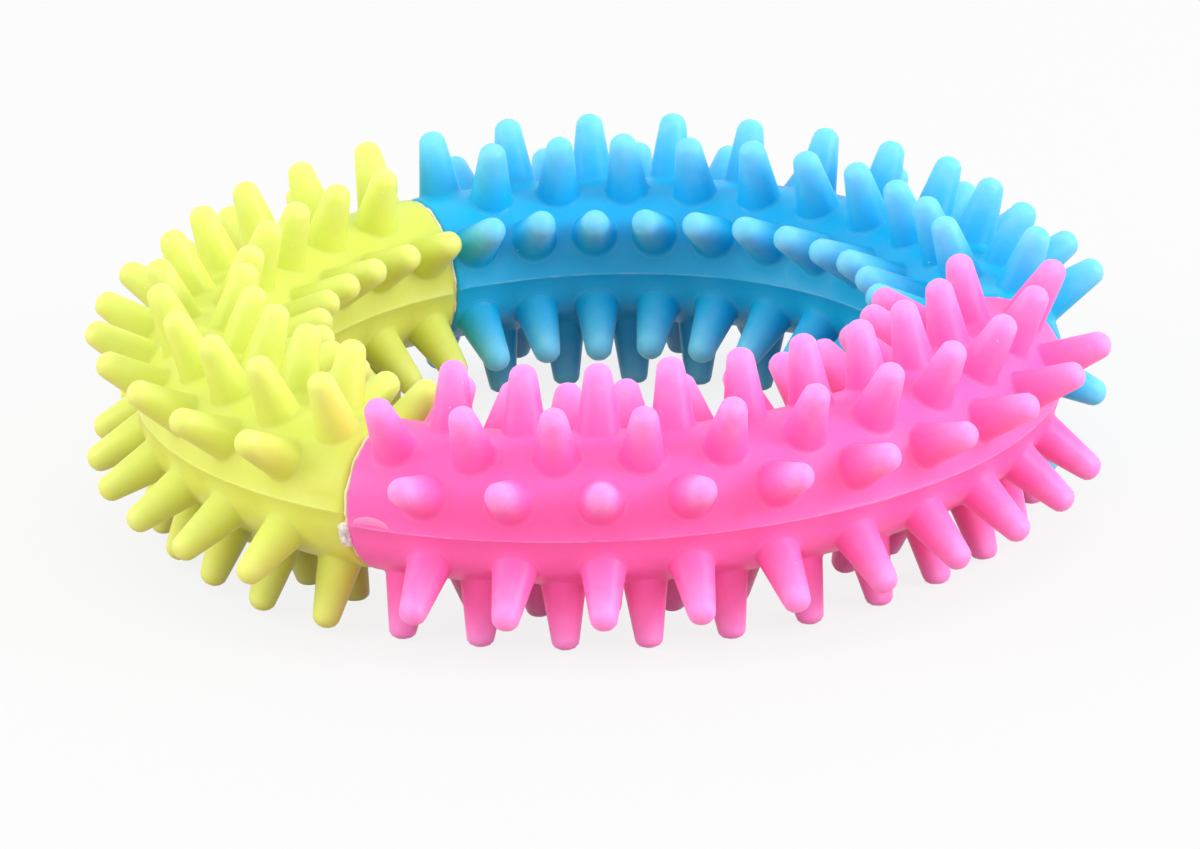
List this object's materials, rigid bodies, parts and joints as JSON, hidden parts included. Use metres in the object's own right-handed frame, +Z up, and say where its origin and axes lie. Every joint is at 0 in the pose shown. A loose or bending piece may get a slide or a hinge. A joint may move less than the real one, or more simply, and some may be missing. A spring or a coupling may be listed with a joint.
{
  "type": "spiked pet chew ring",
  "caption": "Spiked rubber chew ring for dogs: pink, blue and lime arcs bonded end to end, covered in tapered round-tipped spikes, lying flat on its lower spikes.",
  "frame": {"origin": "on the ring's axis, in the plane that the ring's lower spikes stand on", "axes": "+Z up along the ring's axis; -Y towards the pink arc's front, as pictured"},
  "size_m": [0.14, 0.1409, 0.037],
  "materials": {
    "pink_rubber": "satin",
    "blue_rubber": "satin",
    "yellow_rubber": "satin",
    "adhesive": "gloss",
    "plug_rubber": "matte"
  },
  "bodies": {
    "root": {"pink_arc": "pink_rubber", "blue_arc": "blue_rubber", "yellow_arc": "yellow_rubber", "bond_yellow_pink": "adhesive", "bond_pink_blue": "adhesive", "bond_blue_yellow": "adhesive", "plug_yellow_pink": "plug_rubber", "plug_pink_blue": "plug_rubber", "plug_blue_yellow": "plug_rubber"}
  },
  "joints": []
}
